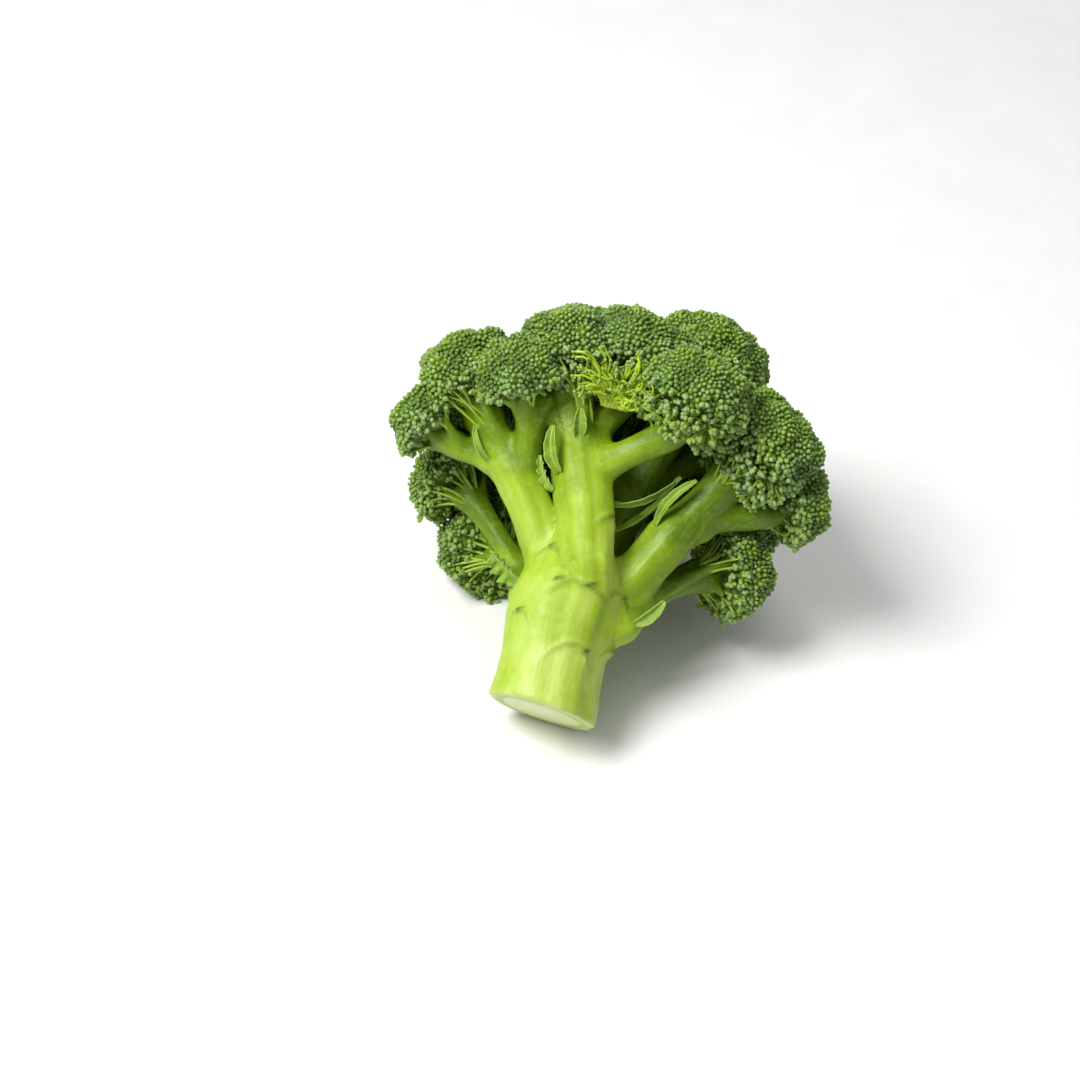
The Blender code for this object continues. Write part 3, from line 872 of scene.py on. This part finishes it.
# ---------------------------------------------------------------- finishes


def rgb(red, green, blue):
    """A linear colour from the 0 to 255 values that a screen shows."""
    values = [v / 255 for v in (red, green, blue)]
    return (*[v / 12.92 if v <= 0.04045 else ((v + 0.055) / 1.055) ** 2.4 for v in values], 1)


def new_finish(name, roughness, subsurface, radius, specular=0.4):
    """A material, its node tree and its shader, with what is the same all over set on the shader."""
    mat = bpy.data.materials.new(name)
    mat.use_nodes = True
    tree = mat.node_tree
    shader = tree.nodes["Principled BSDF"]
    shader.inputs["Roughness"].default_value = roughness
    shader.inputs["Subsurface Weight"].default_value = subsurface
    shader.inputs["Subsurface Radius"].default_value = (0.5, 1.0, 0.25)
    shader.inputs["Subsurface Scale"].default_value = radius
    shader.inputs["Specular IOR Level"].default_value = specular
    return mat, tree, shader


def attribute(tree, name):
    return add(tree, "ShaderNodeAttribute", attribute_name=name).outputs["Fac"]


def speckle(tree, scale, detail=3.0, roughness=0.55):
    """Noise through the piece, from 0 to 1."""
    where = add(tree, "ShaderNodeTexCoord").outputs["Object"]
    values = {"Vector": where, "Scale": scale, "Detail": detail, "Roughness": roughness}
    return add(tree, "ShaderNodeTexNoise", values).outputs["Fac"]


def ramp(tree, factor, stops):
    node = add(tree, "ShaderNodeValToRGB", {"Fac": factor})
    elements = node.color_ramp.elements
    while len(elements) < len(stops):
        elements.new(0.5)
    for element, (place, colour) in zip(elements, stops):
        element.position, element.color = place, colour
    return node.outputs["Color"]


def mix(tree, factor, a, b):
    """The colour a, turned into b by factor."""
    return add(tree, "ShaderNodeMix", {0: factor, 6: a, 7: b}, data_type="RGBA").outputs[2]


def remap(tree, value, low, high, out_low=0.0, out_high=1.0):
    values = {"Value": value, "From Min": low, "From Max": high, "To Min": out_low, "To Max": out_high}
    return add(tree, "ShaderNodeMapRange", values).outputs["Result"]


def finished(made, colour, gloss_by, gloss, relief, relief_size):
    """Joins a finish's colour, its roughness between the two of gloss, and its relief to its shader."""
    mat, tree, shader = made
    tree.links.new(colour, shader.inputs["Base Color"])
    tree.links.new(remap(tree, gloss_by, 0.3, 0.7, *gloss), shader.inputs["Roughness"])
    if relief is not None:
        values = {"Height": relief, "Strength": relief_size[0], "Distance": relief_size[1]}
        bumped = add(tree, "ShaderNodeBump", values)
        tree.links.new(bumped.outputs["Normal"], shader.inputs["Normal"])
    return mat


# The skin's greens by its tone, and the cut's creams from its middle to its edge.
SKIN_GREENS = [
    (0.0, rgb(180, 202, 94)),
    (0.35, rgb(154, 182, 40)),
    (0.7, rgb(120, 150, 6)),
    (1.0, rgb(88, 118, 0)),
]
CUT_CREAMS = [
    (0.0, rgb(220, 226, 184)),
    (0.7, rgb(206, 214, 158)),
    (0.8, rgb(158, 180, 88)),
    (0.9, rgb(190, 204, 132)),
]


def skin_finish():
    """Pale waxy green skin, deeper towards the florets, deeper still to the right and at the back as painted
    shade, with fibres along the stems and a cream cut.
    """
    made = new_finish("stem_skin", 0.45, 0.15, 3 * MM, specular=0.3)
    tree = made[1]
    patches = speckle(tree, 60.0)
    fine = speckle(tree, 420.0, 4.0)
    rolled = add(tree, "ShaderNodeAttribute", attribute_name="fibre").outputs["Vector"]
    grain = add(tree, "ShaderNodeTexNoise", {"Vector": rolled, "Scale": 700.0, "Detail": 4.0}).outputs["Fac"]
    bands = add(tree, "ShaderNodeTexNoise", {"Vector": rolled, "Scale": 120.0, "Detail": 2.0}).outputs["Fac"]
    # The tone holds the skin's own pale-to-deep green and also the painted shade on the right and at the
    # back.
    tone = maths(tree, "ADD", attribute(tree, "tone"), remap(tree, patches, 0.3, 0.7, -0.16, 0.16))
    tone = maths(tree, "ADD", tone, remap(tree, bands, 0.35, 0.65, -0.12, 0.16))
    colour = ramp(tree, tone, SKIN_GREENS)
    fibres = remap(tree, grain, 0.45, 0.75, 0.0, 0.35)
    colour = mix(tree, fibres, colour, rgb(140, 172, 40))
    colour = mix(tree, remap(tree, fine, 0.5, 0.8, 0.0, 0.2), colour, rgb(196, 214, 120))
    colour = mix(tree, attribute(tree, "scar"), colour, rgb(78, 102, 20))
    from_middle = maths(tree, "ADD", attribute(tree, "pith"), remap(tree, fine, 0.3, 0.7, -0.05, 0.05))
    colour = mix(tree, attribute(tree, "cut"), colour, ramp(tree, from_middle, CUT_CREAMS))
    height = maths(tree, "ADD", maths(tree, "MULTIPLY", grain, 0.8), maths(tree, "MULTIPLY", fine, 0.6))
    return finished(made, colour, patches, (0.36, 0.55), height, (0.5, 0.5 * MM))


def bud_finish(name, base, body, tip):
    """Flower buds: yellow-green at the foot, with a grey-blue wax bloom on the tip, and painted shade that
    darkens the buds in the creases between lumps.
    """
    made = new_finish(name, 0.55, 0.08, 1.0 * MM)
    tree = made[1]
    fine = speckle(tree, 900.0, 2.0)
    patches, fields = speckle(tree, 110.0, 2.0), speckle(tree, 28.0, 1.0)
    tint = attribute(tree, "tint")
    place = maths(tree, "ADD", attribute(tree, "tip"), remap(tree, tint, 0.0, 1.0, -0.18, 0.18))
    colour = ramp(tree, place, [(0.12, base), (0.5, body), (0.92, tip)])
    colour = mix(tree, remap(tree, patches, 0.45, 0.7, 0.0, 0.7), colour, rgb(118, 150, 30))
    colour = mix(tree, remap(tree, fields, 0.45, 0.65, 0.0, 0.45), colour, rgb(114, 146, 96))
    # Painted shade: buds low in the creases between lumps, where crest is small, are darkened.
    colour = mix(tree, remap(tree, attribute(tree, "crest"), 0.0, 0.7, 0.75, 0.0), colour, rgb(58, 90, 8))
    colour = mix(tree, remap(tree, fine, 0.5, 0.75, 0.0, 0.3), colour, rgb(192, 208, 150))
    return finished(made, colour, fine, (0.45, 0.65), fine, (0.3, 0.15 * MM))


def stalklet_finish(name, shade, light):
    """Thin bud stems: fresh yellow-green, a little translucent."""
    made = new_finish(name, 0.45, 0.15, 1.2 * MM)
    tree = made[1]
    patches, fine = speckle(tree, 120.0), speckle(tree, 800.0)
    colour = ramp(tree, patches, [(0.3, shade), (0.7, light)])
    return finished(made, colour, patches, (0.4, 0.55), fine, (0.2, 0.15 * MM))


def body_finish():
    """The floret's body between and under the buds: dark green, partly its own colour and partly painted
    shade for the hollows there.
    """
    made = new_finish("floret_body", 0.6, 0.05, 1.0 * MM)
    tree = made[1]
    fine = speckle(tree, 700.0, 3.0)
    # Painted shade: the body's greens are made dark, as the hollows between and under the buds would be in
    # shade.
    colour = ramp(tree, fine, [(0.3, rgb(44, 66, 6)), (0.7, rgb(104, 134, 22))])
    return finished(made, colour, fine, (0.5, 0.7), fine, (0.8, 0.8 * MM))


def leaf_finish():
    """Small leaves: mid green, paler along the rib and at the edge."""
    made = new_finish("leaf_blade", 0.5, 0.1, 0.8 * MM)
    tree = made[1]
    patches, fine = speckle(tree, 150.0), speckle(tree, 900.0)
    colour = ramp(tree, patches, [(0.3, rgb(92, 128, 18)), (0.7, rgb(132, 168, 40))])
    across = attribute(tree, "across")
    colour = mix(tree, remap(tree, across, 0.25, 0.0, 0.0, 0.6), colour, rgb(176, 200, 96))
    colour = mix(tree, remap(tree, across, 0.8, 1.0, 0.0, 0.5), colour, rgb(170, 196, 92))
    colour = mix(tree, remap(tree, fine, 0.5, 0.75, 0.0, 0.3), colour, rgb(160, 186, 80))
    return finished(made, colour, patches, (0.4, 0.6), fine, (0.4, 0.3 * MM))


def floor_finish():
    made = new_finish("studio_floor", 0.7, 0.0, 1.0 * MM)
    tree = made[1]
    fine = speckle(tree, 30.0)
    colour = ramp(tree, fine, [(0.3, rgb(240, 240, 238)), (0.7, rgb(243, 243, 241))])
    return finished(made, colour, fine, (0.6, 0.8), None, None)


# ---------------------------------------------------------------- pieces


def scars_on(points, faces, foot, along):
    """How far the leaf scars lift the skin's points, and how much of a scar's colour each point has."""
    corners = points[faces]
    square = np.cross(corners[:, 2] - corners[:, 0], corners[:, 3] - corners[:, 1])
    normals = np.zeros(points.shape)
    for k in range(4):
        np.add.at(normals, faces[:, k], square)
    normals = unit(normals)
    right = unit(np.array((1.0, 0, 0)) - along[0] * along)
    front = np.cross(right, along)
    lift, scar = np.zeros(len(points)), np.zeros(len(points))
    for height, aside, half, stubs in SCARS:
        off = points - foot - along * height - right * aside
        level = np.hypot(off @ along, off @ right)
        outer = np.where(level < 1.5 * MM, off @ front, -1)
        k = int(np.argmax(outer))
        up = unit(along - (along @ normals[k]) * normals[k])
        across = np.cross(up, normals[k])
        off = points - points[k]
        x, y, deep = off @ across, off @ up, off @ normals[k]
        near = ease(9 * MM, 5 * MM, np.abs(deep)) * ease(half * 1.35, half * 0.8, np.abs(x))
        arc = y + half * 0.75 * (np.abs(x) / half) ** 2.2
        ridge = np.exp(-((arc / SCAR_EDGE) ** 2)) * near
        ledge = ease(4 * MM, 0, -arc) * (arc < 0) * near
        lift += SCAR_HEIGHT * (ridge + 0.5 * ledge)
        scar = np.maximum(scar, 0.42 * ridge)
        for place in stubs:
            lean = y + 0.1 * half - 0.35 * (x - place)
            stub = np.exp(-(((x - place) / STUB_WIDTH) ** 2 + (2.6 * lean / STUB_WIDTH) ** 2)) * near
            lift += STUB_HEIGHT * stub
            scar = np.maximum(scar, 1.2 * stub)
    return normals * lift[:, None], np.clip(scar, 0, 1)


def make_skin(stalk, branches, fans, cut_middle, cut_out):
    """The stalk, branches and thick bud stems as one skin, with its scars and what its finish reads."""
    thick = [stalk, *branches]
    stems = thick + fans
    boxes = [stem.box(SKIN_ROOM) for stem in stems]
    low = np.min([b[0] for b in boxes], axis=0)
    high = np.max([b[1] for b in boxes], axis=0)
    size = tuple(np.ceil((high - low) / SKIN_STEP).astype(int) + 1)
    points, faces = surface_of(field_of(thick, fans, cut_middle, cut_out, low, size), low)
    tone, weight = np.zeros(len(points)), np.full(len(points), 1e-9)
    fibre, most = np.zeros((len(points), 3)), np.zeros(len(points))
    top = stalk.at[-1]
    for stem in stems:
        a, b = stem.box(3 * MM)
        near = np.flatnonzero(((points > a) & (points < b)).all(axis=1))
        distance, length, angle = stem.measure(points[near])
        share = np.exp(-distance / FORK)
        if stem is stalk:
            value = STALK_TONE + STALK_DEEPER * ease(0.3 * top, top, length)
        elif stem.tone:
            value = np.full(len(near), stem.tone)
        else:
            value = BRANCH_TONE + BRANCH_DEEPER * ease(0, stem.at[-1], length)
        off = points[near] - cut_middle
        # Painted shade: the skin's green is made deeper to the right and at the back, where it lies in shade.
        value = value + RIGHT_PAINTED_SHADE * ease(5 * MM, 50 * MM, off[:, 0])
        value = value + BACK_PAINTED_SHADE * ease(0, -30 * MM, off @ TOWARDS_FRONT)
        tone[near] += share * value
        weight[near] += share
        main = share > most[near]
        radius = np.interp(length, stem.at, stem.radii)
        rolled = np.stack([radius * np.cos(angle), radius * np.sin(angle), length * FIBRE_STRETCH], axis=1)
        fibre[near[main]] = rolled[main]
        most[near[main]] = share[main]
    past = (points - cut_middle) @ cut_out
    cut = ease(-0.7 * MM, -0.25 * MM, past)
    pith = np.linalg.norm(points - cut_middle - past[:, None] * cut_out, axis=1) / stalk.radii[1]
    lift, scar = scars_on(points, faces, cut_middle, -cut_out)
    attributes = {"tone": tone / weight, "cut": cut, "pith": pith, "scar": scar}
    skin = mesh_object("stem_skin", points + lift, faces, attributes)
    write(skin.data, "fibre", fibre, "FLOAT_VECTOR")
    skin.data.materials.append(skin_finish())
    keep_piece(skin, ["stalk"] + ["branch_" + name for name in FLORETS])


def bud_shape():
    """One flower bud: an egg of closed leaves, a unit wide, on its foot."""
    egg = [(0, -0.3), (0.36, -0.16), (0.52, 0.25), (0.36, 0.72), (0, 0.92)]
    return turned_shape("bud_shape", egg, 6, 0.06)


def make_florets(florets, fans, faces):
    """Each floret's body, its closed buds, its thin bud stems and their loose buds."""
    body = body_finish()
    buds = bud_finish("flower_buds", rgb(150, 176, 14), rgb(88, 128, 16), rgb(144, 174, 92))
    loose = bud_finish("loose_buds", rgb(150, 175, 60), rgb(118, 150, 50), rgb(150, 172, 120))
    stalklet = stalklet_finish("bud_stems", rgb(126, 158, 30), rgb(168, 196, 70))
    bud = bud_shape()
    set_buds = scatter_tree("set_buds", {"Shape": bud, "Finish": buds})
    place_buds = place_tree("place_buds", {"Shape": bud, "Finish": loose})
    tubes = tube_tree("round_stems", {"Finish": stalklet})
    for seed, floret in enumerate(florets):
        core = mesh_object("floret_body_" + floret.name, floret.points, faces)
        core.data.materials.append(body)
        keep_piece(core, ["floret_" + floret.name])
        size = BUD_SHARE + RIM_GROWTH * floret.rim
        attributes = {"share": floret.bud_share(), "size": size, "crest": floret.crest}
        ground = mesh_object("ground", floret.points, faces, attributes)
        values = {"Spacing": BUD_SPACING, "Width": BUD_WIDTH, "Vary": BUD_VARY, "Tilt": BUD_TILT}
        values |= {"Seed": seed, "Shape": bud, "Finish": buds}
        keep_piece(run_tree(ground, set_buds, "buds_" + floret.name, values), [])
        stalklets = stalklets_of(floret, fans[floret.name])
        thick = [np.linspace(*STALKLET_RADIUS, STALKLET_POINTS)] * len(stalklets)
        lines = lines_object([line for line, _ in stalklets], thick)
        values = {"Sides": 6, "Fullness": 1.0, "Finish": stalklet}
        keep_piece(run_tree(lines, tubes, "bud_stems_" + floret.name, values), [])
        places = clusters_object(stalklets, LOOSE_BUDS, LOOSE_WIDTH)
        values = {"Width": LOOSE_WIDTH, "Seed": seed, "Shape": bud, "Finish": loose}
        keep_piece(run_tree(places, place_buds, "loose_buds_" + floret.name, values), [])
    bpy.data.objects.remove(bud)


def leaf_sheet(name, foot):
    """A leaf's grid of points, from its end nearest to foot and across, and how far out each one is."""
    points, faces = node_mesh(name)
    middle = points.mean(axis=0)
    along = np.linalg.svd(points - middle, full_matrices=False)[2][0]
    ends = [middle + along * reach for reach in np.sort((points - middle) @ along)[[0, -1]]]
    ends.sort(key=lambda end: np.linalg.norm(end - foot))
    inset = unit(ends[1] - ends[0]) * 0.4 * MM
    middles, girths = slices(points, faces, ends[0] + inset, ends[1] - inset, LEAF_SLICES)
    line, widths = spread(middles, girths / 2, LEAF_SLICES * 3)
    vectors, places = area_vectors(points, faces), points[faces].mean(axis=1)
    across = np.linspace(-1, 1, LEAF_ACROSS)[None, :, None]
    ways, flats = [], []
    tangents = unit(np.gradient(line, axis=0))
    for place, tangent in zip(line, tangents):
        near = vectors * np.exp(-((np.linalg.norm(places - place, axis=1) / (4 * MM)) ** 2))[:, None]
        flat = np.linalg.svd(near, full_matrices=False)[2][0]
        flat = flat if flat @ TOWARDS_FRONT > 0 else -flat
        flat = flat + LEAF_TO_FRONT * TOWARDS_FRONT
        flat = unit(flat - tangent * (flat @ tangent))
        ways.append(np.cross(tangent, flat))
        flats.append(flat)
    ways, flats = np.array(ways)[:, None], np.array(flats)[:, None]
    widths = widths[:, None, None] * LEAF_FULLNESS
    t = np.linspace(0, 1, len(line))[:, None, None]
    wave = np.sin(2 * math.pi * (4.3 * t + 0.35 * across))
    wave = wave + 0.5 * np.sin(2 * math.pi * (9.1 * t - 0.5 * across))
    ruffle = FRILLED.get(name, LEAF_RUFFLE) * widths * wave * np.abs(across) ** 2 * ease(0.05, 0.5, t)
    rib = 0.3 * MM * np.exp(-((across / 0.2) ** 2)) * (1 - t)
    cup = 0.3 * widths * across**2
    grid = line[:, None] + ways * across * widths / 2 + flats * (cup + ruffle - rib)
    return grid, np.broadcast_to(np.abs(across), (len(line), LEAF_ACROSS, 1))


def make_leaves(foot):
    finish = leaf_finish()
    for name in LEAVES:
        grid, shade = leaf_sheet(name, foot)
        rows, columns = grid.shape[:2]
        corner = np.arange(rows * columns).reshape(rows, columns)[:-1, :-1].reshape(-1, 1)
        faces = corner + np.array([0, 1, columns + 1, columns])
        leaf = mesh_object(name + "_blade", grid.reshape(-1, 3), faces, {"across": shade.ravel()})
        leaf.data.materials.append(finish)
        thick = leaf.modifiers.new("thick", "SOLIDIFY")
        thick.thickness, thick.offset = LEAF_THICKNESS, 0
        levels = leaf.modifiers.new("round", "SUBSURF")
        levels.levels = levels.render_levels = 1
        keep_piece(leaf, [name])


def make_tuft(floret):
    """The curly tuft, with a few small buds at the end of each stem."""
    finish = stalklet_finish("curly_stems", rgb(124, 154, 10), rgb(186, 210, 50))
    tubes = tube_tree("curly_stems", {"Finish": finish})
    stems = tuft_of(floret)
    thick = [np.linspace(*TUFT_RADIUS, TUFT_POINTS)] * len(stems)
    lines = lines_object([line for line, _ in stems], thick)
    values = {"Sides": 7, "Fullness": 1.0, "Finish": finish}
    keep_piece(run_tree(lines, tubes, "curly_tuft", values), [])
    buds = bud_finish("tuft_buds", rgb(150, 175, 50), rgb(140, 170, 50), rgb(168, 192, 90))
    bud = bud_shape()
    places = clusters_object(stems, TUFT_BUDS, TUFT_WIDTH)
    tree = place_tree("tuft_buds", {"Shape": bud, "Finish": buds})
    values = {"Width": TUFT_WIDTH, "Seed": 3, "Shape": bud, "Finish": buds}
    keep_piece(run_tree(places, tree, "tuft_buds", values), [])
    bpy.data.objects.remove(bud)


# ---------------------------------------------------------------- the studio

VIEW_FROM = Vector((0.0404, -0.6790, 0.6670))
VIEW_ALONG = Vector((-0.0680, 0.7319, -0.6780))
VIEW_UP = Vector((-0.2176, 0.6524, 0.7260))
# Square lights: each one's place, side in metres and power in watts.
LIGHTS = [
    ("key", (-0.7, -0.4, 1.1), 0.6, 22),
    ("fill", (0.9, -0.7, 0.8), 0.9, 1),
    ("top", (0.1, 0.5, 1.4), 1.0, 6),
]
DAYLIGHT = 0.26


def make_camera():
    camera = placed("camera", bpy.data.cameras.new("camera"))
    camera.data.lens, camera.data.sensor_width = 75, 36
    back = -VIEW_ALONG.normalized()
    right = VIEW_UP.cross(back).normalized()
    up = back.cross(right)
    rows = [[right[k], up[k], back[k], VIEW_FROM[k]] for k in range(3)] + [[0, 0, 0, 1]]
    camera.matrix_world = Matrix(rows)
    camera.data.clip_start = 0.01
    bpy.context.scene.camera = camera


def make_light(name, place, aim, size, power):
    lamp = bpy.data.lights.new(name, "AREA")
    lamp.size, lamp.energy = size, power
    obj = placed(name, lamp)
    obj.location = place
    obj.rotation_euler = (Vector(aim) - Vector(place)).to_track_quat("-Z", "Y").to_euler()


def make_studio():
    far = FLOOR_HALF
    corners = [(-far, -far, 0), (far, -far, 0), (far, far, 0), (-far, far, 0)]
    floor = mesh_object("floor", corners, [(0, 1, 2, 3)])
    floor.data.materials.append(floor_finish())
    middle = (cad_box[0] + cad_box[1]) / 2
    for name, place, size, power in LIGHTS:
        make_light(name, place, middle, size, power)
    world = bpy.data.worlds.new("studio")
    world.use_nodes = True
    world.node_tree.nodes["Background"].inputs["Color"].default_value = (1, 1, 1, 1)
    world.node_tree.nodes["Background"].inputs["Strength"].default_value = DAYLIGHT
    bpy.context.scene.world = world
    bpy.context.scene.view_settings.view_transform = "Standard"


# ---------------------------------------------------------------- making it all

make_camera()
make_studio()
directions, ball_faces, ball_edges = ball(BALL_LEVELS)
florets = [Floret(name, directions, ball_edges) for name in FLORETS]
stalk_points, stalk_radii, cut_middle, cut_out = stalk_line()
stalk = Stem(stalk_points, stalk_radii, facets=7, turn=0.6)
drafts = [Stem(f.line, f.radii) for f in florets]
for k, floret in enumerate(florets):
    others = [stalk] + drafts[:k] + drafts[k + 1 :]
    floret.line, floret.radii = rooted(floret.line, floret.radii, others)
branches = [Stem(f.line, f.radii, facets=5, turn=k * 1.3) for k, f in enumerate(florets)]
fans = {floret.name: fan_of(floret) for floret in florets}
bud_carriers = [stem for fan in fans.values() for stem in fan]
make_skin(stalk, branches, bud_carriers, cut_middle, cut_out)
make_florets(florets, fans, ball_faces)
make_leaves(cut_middle)
make_tuft(next(floret for floret in florets if floret.name == TUFT_FLORET))

bpy.context.view_layer.update()
